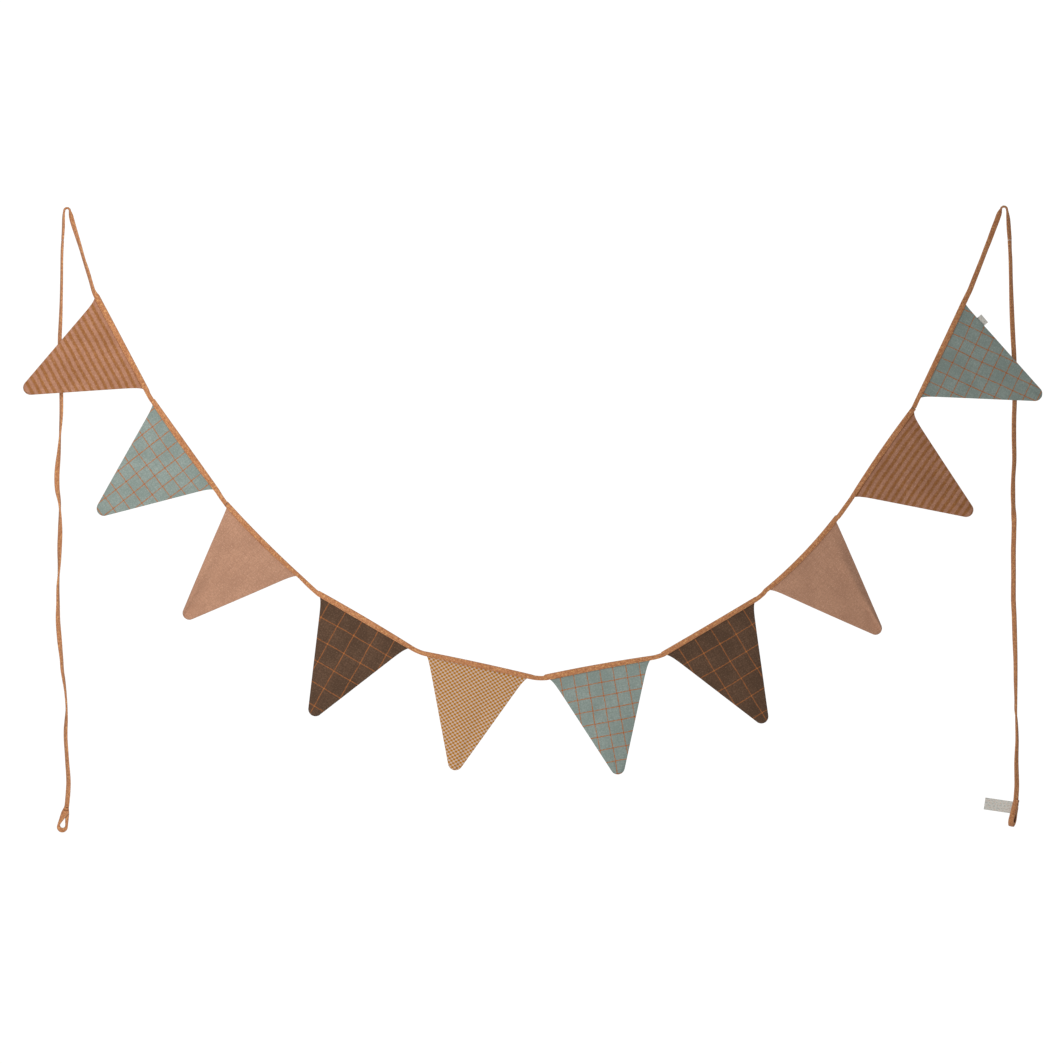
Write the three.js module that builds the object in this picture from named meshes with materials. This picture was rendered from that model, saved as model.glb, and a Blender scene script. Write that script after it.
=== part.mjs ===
// Fabric bunting: ten triangular cloth flags sewn into one folded tape that hangs from two points.
// Millimetres, +Z up, front towards -Y. The origin is the underside of the left top bend.

import * as THREE from 'three';

// Cloth and tape
const CLOTH_THICKNESS = 1.2;
const TAPE_WIDTH = 6.9;
const GATHERED_WIDTH = 5.9;
const GATHERED_DROP = 0.2;
const TAPE_THICKNESS = 2.6;
const LEAF_THICKNESS = 1;
const GAP = 0.3;
const TUCK = 3.6;
const FLAG_BINDING_THICKNESS = CLOTH_THICKNESS + 2 * (GAP + LEAF_THICKNESS);
const SHUT_SLOT_DEPTH = 0.4;
const SHUT_SLOT_HALF = 0.25;
const SLOT_STEP = 0.6;

// Flag outline
const FLARE_REACH = 5;
const SHARP_TIP = 15;
const FLAG_COLUMNS = 10;
const FLAG_ROWS = [0, 0.03, 0.09, 0.2, 0.36, 0.52, 0.68, 0.82, 0.92, 0.975, 0.998];
const CREASE_WIDTH = 0.24;
const FOLDS_START = 0.04;
const FOLDS_FULL = 0.5;

// Flags, in order along the tape. x and z place the first top corner, and angle turns the line
// between the top corners up from +X. Width runs along the tape, drop goes down to the tip, and tip
// is the tip's place along the width. First and last are how far the side at that corner draws in
// below it.
const FLAG_FIELDS = ['cloth', 'x', 'z', 'angle', 'width', 'drop', 'tip', 'first', 'last'];
const FLAG_TABLE = [
  ['stripe', 35.8, -116.4, -61.8, 133.5, 137.5, 62.5, 2.4, 2.4],
  ['sage', 111.2, -254.8, -54.4, 135.1, 139.3, 72.8, 1.6, 2.4],
  ['tan', 207.4, -388.7, -44.4, 126.4, 140.0, 61.1, 0.3, 2.2],
  ['brown', 328.9, -505.1, -30.1, 132.2, 137.8, 67.7, 2.0, 2.4],
  ['check', 468.0, -581.8, -12.4, 133.1, 136.6, 65.8, 1.4, 2.4],
  ['sage', 627.9, -611.7, 10.8, 132.3, 137.9, 65.0, 2.4, 2.4],
  ['brown', 780.0, -579.8, 30.7, 132.3, 140.4, 64.6, 2.4, 2.4],
  ['tan', 913.9, -495.3, 45.6, 123.6, 141.3, 60.2, 2.4, 0.0],
  ['stripe', 1024.4, -374.4, 55.2, 134.5, 137.5, 68.9, 2.4, 3.8],
  ['sage', 1110.2, -245.1, 64.2, 134.3, 140.7, 68.9, 2.0, 0.8],
];

// How each flag hangs. The folded tape is tapeFirst, tapeMiddle and tapeLast wide along it, and sag
// is how far the top edge bows down from the line between its corners. Bow, lean and crease bring
// the middle, the tip and one crease forward, and creaseAt runs from -1 at the first side to 1 at
// the last.
const HANG_FIELDS = ['tapeFirst', 'tapeMiddle', 'tapeLast', 'sag', 'bow', 'lean', 'crease', 'creaseAt'];
const HANG_TABLE = [
  [7.6, 7.2, 6.6, 0.0, 2.0, 2.0, 1.0, 0.4],
  [6.8, 8.0, 6.6, 1.2, 2.5, -3.0, -1.0, -0.3],
  [6.9, 7.0, 5.4, 2.2, 1.5, 3.0, 3.2, -0.78],
  [7.3, 7.6, 6.1, 0.0, 3.0, -2.0, 1.2, 0.3],
  [6.2, 7.3, 6.6, 0.2, 2.0, 3.5, -1.5, 0.5],
  [7.8, 7.3, 6.0, -0.6, 3.0, -2.5, 1.5, -0.5],
  [7.1, 6.6, 6.6, 0.0, 2.0, 3.0, -1.0, 0.2],
  [6.0, 6.8, 6.8, 3.7, 1.5, -2.0, 4.5, 0.72],
  [5.8, 6.9, 6.4, -0.8, 2.5, 2.5, 1.0, -0.2],
  [5.8, 6.9, 7.1, 0.6, 2.0, 2.0, -1.0, 0.3],
];

// Bare ends of the swag between the flags and the top bends, each in order along the tape. Roll
// turns the tape about its length: 0 is face on, 90 is edge on.
const SWAG_FIELDS = ['x', 'z', 'roll'];
const LEFT_TAIL_START = [
  [-5.6, -40.3, 104],
  [-4.6, -24.7, 110],
  [-4.3, -10.4, 106],
];
const LEFT_SWAG = [
  [4.9, -6.6, 56],
  [5.7, -10.0, 42],
  [6.7, -14.3, 38],
  [10.6, -27.3, 46],
  [14.7, -40.3, 55],
  [18.6, -53.3, 64],
  [22.3, -66.3, 67],
  [26.6, -79.3, 58],
  [30.5, -92.3, 60],
  [34.3, -105.3, 55],
  [36.6, -110.4, 34],
];
const RIGHT_SWAG = [
  [1168.9, -115.2, 16],
  [1173.9, -104.8, 22],
  [1178.9, -92.0, 26],
  [1184.0, -79.1, 30],
  [1189.1, -66.1, 36],
  [1194.0, -53.1, 34],
  [1199.1, -40.2, 26],
  [1204.0, -27.1, 16],
  [1209.0, -14.1, 14],
  [1211.8, -6.0, 30],
];
const RIGHT_TAIL_START = [
  [1223.3, -12.0, 124],
  [1224.2, -26.0, 134],
  [1225.3, -40.3, 130],
];
const LEFT_BEND = { x: 0, z: -2.4, radius: 3.7, from: 177, to: 17 };
const RIGHT_BEND = { x: 1218.1, z: -0.65, radius: 3.9, from: 159, to: 5 };
const BEND_STEPS = 8;
const BEND_ROLL = 90;

// Ties: the tape's two free ends, which hang straight down behind the outer flags
const TIE_FIELDS = ['x', 'y', 'z', 'roll'];
const LEFT_TIE = [
  [-5.6, 0.0, -40.7, 76],
  [-6.4, 1.2, -53.5, 72],
  [-6.8, 2.6, -66.3, 74],
  [-7.2, 5.0, -92.3, 72],
  [-7.8, 7.0, -118.3, 68],
  [-8.7, 8.0, -144.3, 58],
  [-9.8, 8.5, -170.3, 52],
  [-9.3, 8.5, -196.3, 56],
  [-8.3, 8.5, -218.0, 54],
  [-7.8, 8.5, -237.9, 54],
  [-7.8, 8.0, -265.2, 58],
  [-9.0, 7.5, -287.3, 78],
  [-10.8, 7.0, -314.6, 116],
  [-13.3, 6.5, -343.2, 158],
  [-13.0, 6.0, -364.0, 144],
  [-9.9, 6.0, -383.5, 100],
  [-9.1, 5.5, -416.0, 44],
  [-9.8, 5.5, -438.1, 38],
  [-10.4, 5.0, -464.1, 70],
  [-12.0, 4.5, -490.1, 104],
  [-12.0, 4.5, -513.5, 116],
  [-12.0, 4.0, -534.3, 133],
  [-10.1, 4.0, -559.0, 142],
  [-8.7, 4.0, -573.3, 126],
  [-7.3, 4.0, -586.3, 115],
  [-6.4, 4.0, -599.3, 112],
  [-4.4, 4.0, -612.3, 106],
  [-2.6, 4.0, -625.3, 94],
  [-1.4, 4.0, -638.3, 89],
  [-0.7, 4.0, -651.3, 85],
  [-1.2, 4.0, -664.3, 64],
  [-1.9, 4.0, -677.3, 54],
  [-1.8, 4.0, -690.3, 54],
  [-0.8, 4.0, -705.0, 54],
  [0.2, 4.0, -720.2, 52],
  [1.4, 4.0, -735.0, 46],
  [1.8, 4.0, -746.2, 41],
  [1.2, 4.0, -759.2, 36],
  [-0.3, 4.0, -776.1, 40],
];
const RIGHT_TIE = [
  [1225.3, 0.0, -40.7, 130],
  [1225.9, 1.2, -53.5, 122],
  [1226.6, 2.6, -66.3, 126],
  [1227.3, 5.0, -92.3, 126],
  [1228.1, 7.0, -118.3, 138],
  [1229.1, 8.0, -144.3, 148],
  [1230.4, 8.5, -170.3, 149],
  [1231.5, 8.5, -189.8, 148],
  [1232.2, 8.5, -220.0, 146],
  [1232.3, 8.5, -249.6, 142],
  [1231.5, 8.0, -273.0, 142],
  [1231.4, 7.5, -296.4, 142],
  [1231.8, 7.0, -326.3, 136],
  [1230.4, 6.5, -350.0, 132],
  [1230.1, 6.5, -370.5, 142],
  [1230.6, 6.0, -389.0, 138],
  [1231.2, 6.0, -398.6, 176],
  [1231.5, 6.0, -408.2, 212],
  [1231.1, 5.5, -426.0, 216],
  [1230.6, 5.5, -444.6, 214],
  [1230.7, 5.0, -475.8, 218],
  [1230.6, 5.0, -508.3, 215],
  [1231.5, 5.0, -527.8, 216],
  [1232.4, 5.0, -560.3, 220],
  [1233.2, 5.0, -586.3, 234],
  [1233.4, 5.0, -612.3, 240],
  [1233.7, 5.0, -638.3, 256],
  [1233.6, 5.0, -651.3, 258],
  [1234.6, 5.0, -664.3, 283],
  [1235.4, 5.0, -690.3, 298],
  [1234.9, 5.0, -705.0, 306],
  [1234.5, 5.0, -720.2, 315],
  [1234.8, 5.0, -735.0, 322],
  [1235.0, 5.0, -750.1, 328],
  [1233.9, 5.0, -768.3, 338],
];

// Loops: each tie's end folded back on itself and sewn shut at its neck
const LOOP = { neckHalf: 2.5, shoulderHalf: 5.3, shoulderDrop: 8, length: 34 };
const LOOP_HOLE = { centreDrop: 24.6, topDrop: 14.6 };
const LOOP_CURVE_STEPS = 8;
const LEFT_LOOP = { x: -0.7, y: 4, z: -777.2, turn: 2, lean: 12, outerRadius: 7.1, holeRadius: 3.3 };
const RIGHT_LOOP = { x: 1234.2, y: 5, z: -769.6, turn: 72, lean: 11, outerRadius: 8.6, holeRadius: 3.9 };

// Labels: bare woven strips, one behind the edge of the last flag and one at the right loop's neck
const LABEL_THICKNESS = 1;
const EDGE_LABEL = { x: 1189.9, y: 1.6, z: -144.7, width: 13.6, height: 8.2, angle: -50, bend: 0.3 };
const NECK_LABEL = { width: 36.8, height: 15.6, bend: 2, topDrop: 2.6, gap: 0.8, tilt: -3 };

const COLOURS = {
  stripe: 0xa97c53,
  sage: 0x848f85,
  tan: 0xb58a6b,
  brown: 0x5b4636,
  check: 0xbd9a66,
  tape: 0xb87a50,
  label: 0xc4bfb4,
};
const FRONT = new THREE.Vector3(0, -1, 0);

function clothMaterial(name) {
  return new THREE.MeshStandardMaterial({ color: COLOURS[name], roughness: 0.95, metalness: 0 });
}

function namedMesh(name, geometry, colour) {
  const mesh = new THREE.Mesh(geometry, clothMaterial(colour));
  mesh.name = name;
  return mesh;
}

function fromTable(fields, rows) {
  return rows.map((row) => Object.fromEntries(fields.map((field, i) => [field, row[i]])));
}

// Directions of a flag's top edge: along it, up across the tape, and its first corner
function topEdge(flag) {
  const angle = THREE.MathUtils.degToRad(flag.angle);
  return {
    corner: new THREE.Vector3(flag.x, 0, flag.z),
    along: new THREE.Vector3(Math.cos(angle), 0, Math.sin(angle)),
    up: new THREE.Vector3(-Math.sin(angle), 0, Math.cos(angle)),
  };
}

// How far a flag's top edge bows down at a distance along it
function topSag(flag, distance) {
  const share = distance / flag.width;
  return 4 * flag.sag * share * (1 - share);
}

// Sweep: a straight extrusion with one step a station, whose points are then carried to the stations
function frameAt(stations, index) {
  const before = stations[Math.max(index - 1, 0)];
  const after = stations[Math.min(index + 1, stations.length - 1)];
  const along = new THREE.Vector3(after.x - before.x, after.y - before.y, after.z - before.z).normalize();
  const up = new THREE.Vector3(-along.z, 0, along.x).normalize();
  const front = new THREE.Vector3().crossVectors(along, up);
  const roll = THREE.MathUtils.degToRad(stations[index].roll);
  const across = up.clone().multiplyScalar(Math.cos(roll)).addScaledVector(front, Math.sin(roll));
  const through = front.clone().multiplyScalar(Math.cos(roll)).addScaledVector(up, -Math.sin(roll));
  return { across, through };
}

function sweep(section, stations, sectionPoint) {
  const steps = stations.length - 1;
  const geometry = new THREE.ExtrudeGeometry(section, { depth: steps, steps, bevelEnabled: false });
  const frames = stations.map((station, index) => frameAt(stations, index));
  const position = geometry.getAttribute('position');
  const point = new THREE.Vector3();
  for (let i = 0; i < position.count; i += 1) {
    const step = Math.round(position.getZ(i));
    const station = stations[step];
    const [across, through] = sectionPoint(position.getX(i), position.getY(i), station);
    point.set(station.x, station.y, station.z);
    point.addScaledVector(frames[step].across, across);
    point.addScaledVector(frames[step].through, through);
    position.setXYZ(i, point.x, point.y, point.z);
  }
  geometry.computeVertexNormals();
  return geometry;
}

// Flags: half width at a depth, on the side whose line draws in by flare below its top corner
function flagHalfWidth(flag, depth, flare) {
  const apex = flag.drop + SHARP_TIP;
  const slope = (flag.width / 2 - flare) / apex;
  const halfAngle = Math.atan(slope);
  const radius = SHARP_TIP / (1 / Math.sin(halfAngle) - 1);
  const tangentDepth = apex - (radius * Math.cos(halfAngle)) / Math.tan(halfAngle);
  if (depth > tangentDepth) {
    return Math.sqrt(radius ** 2 - (depth - flag.drop + radius) ** 2);
  }
  return slope * (apex - depth) + flare * Math.exp(-depth / FLARE_REACH);
}

function flagForward(flag, across, depth) {
  const down = depth / flag.drop;
  const free = THREE.MathUtils.smoothstep(down, FOLDS_START, FOLDS_FULL);
  const bow = flag.bow * (1 - across ** 2) * free;
  const lean = flag.lean * down ** 2;
  const crease = flag.crease * Math.exp(-(((across - flag.creaseAt) / CREASE_WIDTH) ** 2)) * free;
  return bow + lean + crease;
}

function makeFlag(flag, name) {
  const { corner, along, up } = topEdge(flag);
  const depths = [-TUCK, ...FLAG_ROWS.map((share) => share * flag.drop)];
  const rows = depths.length - 1;
  const geometry = new THREE.BoxGeometry(2, rows, CLOTH_THICKNESS, FLAG_COLUMNS, rows, 1);
  const position = geometry.getAttribute('position');
  const point = new THREE.Vector3();
  for (let i = 0; i < position.count; i += 1) {
    const across = position.getX(i);
    const depth = depths[Math.round(rows / 2 - position.getY(i))];
    const clothDepth = Math.max(depth, 0);
    const middle = flag.width / 2 + (flag.tip - flag.width / 2) * (clothDepth / flag.drop);
    const halfWidth = flagHalfWidth(flag, clothDepth, across < 0 ? flag.first : flag.last);
    const distance = middle + across * halfWidth;
    const sag = topSag(flag, distance) * (1 - clothDepth / flag.drop);
    point.copy(corner);
    point.addScaledVector(along, distance);
    point.addScaledVector(up, -depth - sag);
    point.addScaledVector(FRONT, position.getZ(i) + flagForward(flag, across, clothDepth));
    position.setXYZ(i, point.x, point.y, point.z);
  }
  geometry.computeVertexNormals();
  return namedMesh(name, geometry, flag.cloth);
}

// Binding: the tape folded over the flags' top edges, bare between them and over the top bends
const BINDING_SHARES = [0.2, 0.4, 0.6, 0.8];
const GAP_SHARES = [0.25, 0.5, 0.75];
const SLOT_MARK = 0.25;
const FOLD_SHOULDER = 0.8;
const FOLD_CREST = 0.5;

function bindingSection() {
  return new THREE.Shape([
    new THREE.Vector2(-1, -1),
    new THREE.Vector2(FOLD_SHOULDER, -1),
    new THREE.Vector2(1, -FOLD_CREST),
    new THREE.Vector2(1, FOLD_CREST),
    new THREE.Vector2(FOLD_SHOULDER, 1),
    new THREE.Vector2(-1, 1),
    new THREE.Vector2(-1, SLOT_MARK),
    new THREE.Vector2(0, SLOT_MARK),
    new THREE.Vector2(0, -SLOT_MARK),
    new THREE.Vector2(-1, -SLOT_MARK),
  ]);
}

function bindingPoint(p, q, station) {
  const halfWidth = station.width / 2;
  if (Math.abs(q) === SLOT_MARK) {
    const slotTop = p === 0 ? station.slotDepth : 0;
    return [slotTop - halfWidth, Math.sign(q) * station.slotHalf];
  }
  return [p * halfWidth, q * station.thickness / 2];
}

function bareStation(x, z, roll, width) {
  return {
    x,
    y: 0,
    z,
    roll,
    width,
    thickness: TAPE_THICKNESS,
    slotDepth: SHUT_SLOT_DEPTH,
    slotHalf: SHUT_SLOT_HALF,
  };
}

function bareRun(rows) {
  return fromTable(SWAG_FIELDS, rows).map(({ x, z, roll }) => bareStation(x, z, roll, TAPE_WIDTH));
}

function topBend(bend) {
  return Array.from({ length: BEND_STEPS + 1 }, (unused, step) => {
    const turn = THREE.MathUtils.degToRad(bend.from + (bend.to - bend.from) * (step / BEND_STEPS));
    const x = bend.x + bend.radius * Math.cos(turn);
    const z = bend.z + bend.radius * Math.sin(turn);
    return bareStation(x, z, BEND_ROLL, TAPE_WIDTH);
  });
}

// Width of the folded tape at a distance along a flag
function foldedWidth(flag, distance) {
  const share = distance / flag.width;
  const ends = flag.tapeFirst + (flag.tapeLast - flag.tapeFirst) * share;
  const rise = flag.tapeMiddle - (flag.tapeFirst + flag.tapeLast) / 2;
  return ends + 4 * rise * share * (1 - share);
}

// A point of the tape's middle line, at a distance along a flag and a height above its top edge
function tapePoint(flag, distance, height) {
  const { corner, along, up } = topEdge(flag);
  return corner.addScaledVector(along, distance).addScaledVector(up, height - topSag(flag, distance));
}

function flagRun(flag) {
  const bareAt = (distance) => {
    const width = foldedWidth(flag, distance);
    const centre = tapePoint(flag, distance, width / 2);
    return bareStation(centre.x, centre.z, 0, width);
  };
  const foldedAt = (distance) => ({
    ...bareAt(distance),
    thickness: FLAG_BINDING_THICKNESS,
    slotDepth: TUCK + GAP,
    slotHalf: CLOTH_THICKNESS / 2 + GAP,
  });
  return [
    bareAt(-GAP - SLOT_STEP),
    foldedAt(-GAP),
    ...BINDING_SHARES.map((share) => foldedAt(share * flag.width)),
    foldedAt(flag.width + GAP),
    bareAt(flag.width + GAP + SLOT_STEP),
  ];
}

// Between two flags the tape gathers and turns along a curve through the crossing of their two lines
function gapRun(endFlag, startFlag) {
  const height = GATHERED_WIDTH / 2 - GATHERED_DROP;
  const end = tapePoint(endFlag, endFlag.width, height);
  const start = tapePoint(startFlag, 0, height);
  const out = topEdge(endFlag).along;
  const back = topEdge(startFlag).along;
  const across = start.clone().sub(end);
  const reach = (across.x * back.z - across.z * back.x) / (out.x * back.z - out.z * back.x);
  const curve = new THREE.QuadraticBezierCurve3(end, end.clone().addScaledVector(out, reach), start);
  return GAP_SHARES.map((share) => {
    const point = curve.getPoint(share);
    return bareStation(point.x, point.z, 0, GATHERED_WIDTH);
  });
}

function makeBinding(flags) {
  const runs = flags.map(flagRun);
  const stations = [...bareRun(LEFT_TAIL_START), ...topBend(LEFT_BEND), ...bareRun(LEFT_SWAG)];
  runs.forEach((run, i) => {
    if (i > 0) {
      stations.push(...gapRun(flags[i - 1], flags[i]));
    }
    stations.push(...run);
  });
  stations.push(...bareRun(RIGHT_SWAG), ...topBend(RIGHT_BEND), ...bareRun(RIGHT_TAIL_START));
  return namedMesh('binding', sweep(bindingSection(), stations, bindingPoint), 'tape');
}

// Ties: a flat tape with softened edges
const TIE_SIDE = 0.4;
const TIE_SHOULDER = 0.75;

function tieSection() {
  return new THREE.Shape([
    new THREE.Vector2(-TIE_SHOULDER, -1),
    new THREE.Vector2(TIE_SHOULDER, -1),
    new THREE.Vector2(1, -TIE_SIDE),
    new THREE.Vector2(1, TIE_SIDE),
    new THREE.Vector2(TIE_SHOULDER, 1),
    new THREE.Vector2(-TIE_SHOULDER, 1),
    new THREE.Vector2(-1, TIE_SIDE),
    new THREE.Vector2(-1, -TIE_SIDE),
  ]);
}

function makeTie(name, rows) {
  const tiePoint = (p, q) => [p * TAPE_WIDTH / 2, q * TAPE_THICKNESS / 2];
  return namedMesh(name, sweep(tieSection(), fromTable(TIE_FIELDS, rows), tiePoint), 'tape');
}

// Loops: a teardrop outline with a teardrop hole, as deep as the tape is wide
function makeLoop(name, place) {
  const centreDrop = LOOP.length - place.outerRadius;
  const outline = new THREE.Shape();
  outline.moveTo(-LOOP.neckHalf, 0);
  outline.lineTo(-LOOP.shoulderHalf, -LOOP.shoulderDrop);
  outline.absarc(0, -centreDrop, place.outerRadius, Math.PI * 0.94, Math.PI * 2.06, false);
  outline.lineTo(LOOP.shoulderHalf, -LOOP.shoulderDrop);
  outline.lineTo(LOOP.neckHalf, 0);
  const hole = new THREE.Path();
  hole.absarc(0, -LOOP_HOLE.centreDrop, place.holeRadius, Math.PI * 0.88, Math.PI * 2.12, false);
  hole.lineTo(0, -LOOP_HOLE.topDrop);
  outline.holes.push(hole);
  const geometry = new THREE.ExtrudeGeometry(outline, {
    depth: TAPE_WIDTH, steps: 1, bevelEnabled: false, curveSegments: LOOP_CURVE_STEPS,
  });
  geometry.translate(0, 0, -TAPE_WIDTH / 2);
  geometry.rotateX(Math.PI / 2);
  const hanger = new THREE.Group();
  hanger.add(namedMesh(name, geometry, 'tape'));
  hanger.position.set(place.x, place.y, place.z);
  const lean = THREE.MathUtils.degToRad(place.lean);
  const turn = THREE.MathUtils.degToRad(place.turn);
  hanger.rotation.set(0, lean, turn, 'YZX');
  return hanger;
}

// Labels: a small sheet that bends a little across its width
function makeLabel(name, label) {
  const geometry = new THREE.BoxGeometry(label.width, LABEL_THICKNESS, label.height, 8, 1, 2);
  const position = geometry.getAttribute('position');
  for (let i = 0; i < position.count; i += 1) {
    const fromMiddle = position.getX(i) / (label.width / 2);
    position.setY(i, position.getY(i) - label.bend * (1 - fromMiddle ** 2));
  }
  geometry.computeVertexNormals();
  return namedMesh(name, geometry, 'label');
}

function makeEdgeLabel() {
  const label = makeLabel('label_side', EDGE_LABEL);
  label.position.set(EDGE_LABEL.x, EDGE_LABEL.y, EDGE_LABEL.z);
  label.rotation.y = -THREE.MathUtils.degToRad(EDGE_LABEL.angle);
  return label;
}

// The neck label leaves the loop's side, between its two legs
function makeNeckLabel() {
  const label = makeLabel('label_care', NECK_LABEL);
  const outward = TAPE_WIDTH / 2 + NECK_LABEL.gap + NECK_LABEL.width / 2;
  label.position.set(0, outward, -NECK_LABEL.topDrop - NECK_LABEL.height / 2);
  label.rotation.set(THREE.MathUtils.degToRad(NECK_LABEL.tilt), 0, Math.PI / 2);
  return label;
}

const hangs = fromTable(HANG_FIELDS, HANG_TABLE);
const flags = fromTable(FLAG_FIELDS, FLAG_TABLE).map((flag, i) => ({ ...flag, ...hangs[i] }));
const bunting = new THREE.Group();
bunting.add(makeBinding(flags));
flags.forEach((flag, i) => {
  bunting.add(makeFlag(flag, `flag_${String(i + 1).padStart(2, '0')}`));
});
bunting.add(makeTie('tie_left', LEFT_TIE));
bunting.add(makeTie('tie_right', RIGHT_TIE));
bunting.add(makeLoop('loop_left', LEFT_LOOP));
const rightLoop = makeLoop('loop_right', RIGHT_LOOP);
rightLoop.add(makeNeckLabel());
bunting.add(rightLoop);
bunting.add(makeEdgeLabel());

export default bunting;
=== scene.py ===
# Fabric bunting: ten cloth flags sewn into one folded tape, hung in a swag from two points.
# Metres in the CAD frame: +X along the swag, front towards -Y, +Z up. The tables are in millimetres.
import math

import bpy
from mathutils import Matrix, Vector, noise


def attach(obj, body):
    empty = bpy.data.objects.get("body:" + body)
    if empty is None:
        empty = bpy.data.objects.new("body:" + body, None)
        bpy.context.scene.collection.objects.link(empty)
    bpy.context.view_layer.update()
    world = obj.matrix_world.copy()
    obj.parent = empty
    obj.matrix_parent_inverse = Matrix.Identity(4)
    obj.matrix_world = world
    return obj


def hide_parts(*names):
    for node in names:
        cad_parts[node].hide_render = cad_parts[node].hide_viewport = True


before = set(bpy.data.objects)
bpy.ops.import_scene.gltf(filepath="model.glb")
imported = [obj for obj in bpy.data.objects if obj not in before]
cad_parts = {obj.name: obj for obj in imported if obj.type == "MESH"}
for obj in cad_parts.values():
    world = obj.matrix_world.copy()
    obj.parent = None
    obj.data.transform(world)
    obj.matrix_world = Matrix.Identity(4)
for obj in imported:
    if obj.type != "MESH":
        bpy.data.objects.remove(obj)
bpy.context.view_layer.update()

MM = 0.001

# Camera: square on to the swag
CAMERA_DISTANCE = 12
VIEW_WIDTH = 1.3832
VIEW_CENTRE = (0.6045, -0.4199)
SENSOR_WIDTH = 36

# Ties: the tape's two free ends, which hang straight down behind the outer flags
TIE_FIELDS = ("x", "y", "z", "roll")
LEFT_TIE = (
    (-5.6, 0, -40.7, 76), (-6.4, 1.2, -53.5, 72), (-6.8, 2.6, -66.3, 74),
    (-7.2, 5, -92.3, 72), (-7.8, 7, -118.3, 68), (-8.7, 8, -144.3, 58),
    (-9.8, 8.5, -170.3, 52), (-9.3, 8.5, -196.3, 56), (-8.3, 8.5, -218, 54),
    (-7.8, 8.5, -237.9, 54), (-7.8, 8, -265.2, 58), (-9, 7.5, -287.3, 78),
    (-10.8, 7, -314.6, 116), (-13.3, 6.5, -343.2, 158), (-13, 6, -364, 144),
    (-9.9, 6, -383.5, 100), (-9.1, 5.5, -416, 44), (-9.8, 5.5, -438.1, 38),
    (-10.4, 5, -464.1, 70), (-12, 4.5, -490.1, 104), (-12, 4.5, -513.5, 116),
    (-12, 4, -534.3, 133), (-10.1, 4, -559, 142), (-8.7, 4, -573.3, 126),
    (-7.3, 4, -586.3, 115), (-6.4, 4, -599.3, 112), (-4.4, 4, -612.3, 106),
    (-2.6, 4, -625.3, 94), (-1.4, 4, -638.3, 89), (-0.7, 4, -651.3, 85),
    (-1.2, 4, -664.3, 64), (-1.9, 4, -677.3, 54), (-1.8, 4, -690.3, 54),
    (-0.8, 4, -705, 54), (0.2, 4, -720.2, 52), (1.4, 4, -735, 46),
    (1.8, 4, -746.2, 41), (1.2, 4, -759.2, 36), (-0.3, 4, -776.1, 40),
)
RIGHT_TIE = (
    (1225.3, 0, -40.7, 130), (1225.9, 1.2, -53.5, 122), (1226.6, 2.6, -66.3, 126),
    (1227.3, 5, -92.3, 126), (1228.1, 7, -118.3, 138), (1229.1, 8, -144.3, 148),
    (1230.4, 8.5, -170.3, 149), (1231.5, 8.5, -189.8, 148), (1232.2, 8.5, -220, 146),
    (1232.3, 8.5, -249.6, 142), (1231.5, 8, -273, 142), (1231.4, 7.5, -296.4, 142),
    (1231.8, 7, -326.3, 136), (1230.4, 6.5, -350, 132), (1230.1, 6.5, -370.5, 142),
    (1230.6, 6, -389, 138), (1231.2, 6, -398.6, 176), (1231.5, 6, -408.2, 212),
    (1231.1, 5.5, -426, 216), (1230.6, 5.5, -444.6, 214), (1230.7, 5, -475.8, 218),
    (1230.6, 5, -508.3, 215), (1231.5, 5, -527.8, 216), (1232.4, 5, -560.3, 220),
    (1233.2, 5, -586.3, 234), (1233.4, 5, -612.3, 240), (1233.7, 5, -638.3, 256),
    (1233.6, 5, -651.3, 258), (1234.6, 5, -664.3, 283), (1235.4, 5, -690.3, 298),
    (1234.9, 5, -705, 306), (1234.5, 5, -720.2, 315), (1234.8, 5, -735, 322),
    (1235, 5, -750.1, 328), (1233.9, 5, -768.3, 338),
)

# Bare ends of the swag between the flags and the top bends
SWAG_FIELDS = ("x", "z", "roll")
LEFT_TAIL_START = ((-5.6, -40.3, 104), (-4.6, -24.7, 110), (-4.3, -10.4, 106))
LEFT_SWAG = (
    (4.9, -6.6, 56), (5.7, -10, 42), (6.7, -14.3, 38),
    (10.6, -27.3, 46), (14.7, -40.3, 55), (18.6, -53.3, 64),
    (22.3, -66.3, 67), (26.6, -79.3, 58), (30.5, -92.3, 60),
    (34.3, -105.3, 55), (36.6, -110.4, 34),
)
RIGHT_SWAG = (
    (1168.9, -115.2, 16), (1173.9, -104.8, 22), (1178.9, -92, 26),
    (1184, -79.1, 30), (1189.1, -66.1, 36), (1194, -53.1, 34),
    (1199.1, -40.2, 26), (1204, -27.1, 16), (1209, -14.1, 14),
    (1211.8, -6, 30),
)
RIGHT_TAIL_START = ((1223.3, -12, 124), (1224.2, -26, 134), (1225.3, -40.3, 130))
LEFT_BEND = {"x": 0, "z": -2.4, "radius": 3.7, "from": 177, "to": 17}
RIGHT_BEND = {"x": 1218.1, "z": -0.65, "radius": 3.9, "from": 159, "to": 5}
BEND_STEPS = 8
BEND_ROLL = 90

# Cloth and tape
TAPE_WIDTH = 6.9
GATHERED_WIDTH = 5.9
GATHERED_DROP = 0.2
TAPE_THICKNESS = 2.6
FOLDED_THICKNESS = 3.8
LEAF_THICKNESS = 1
TUCK = 3.6
STATION_STEP = 3

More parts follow.
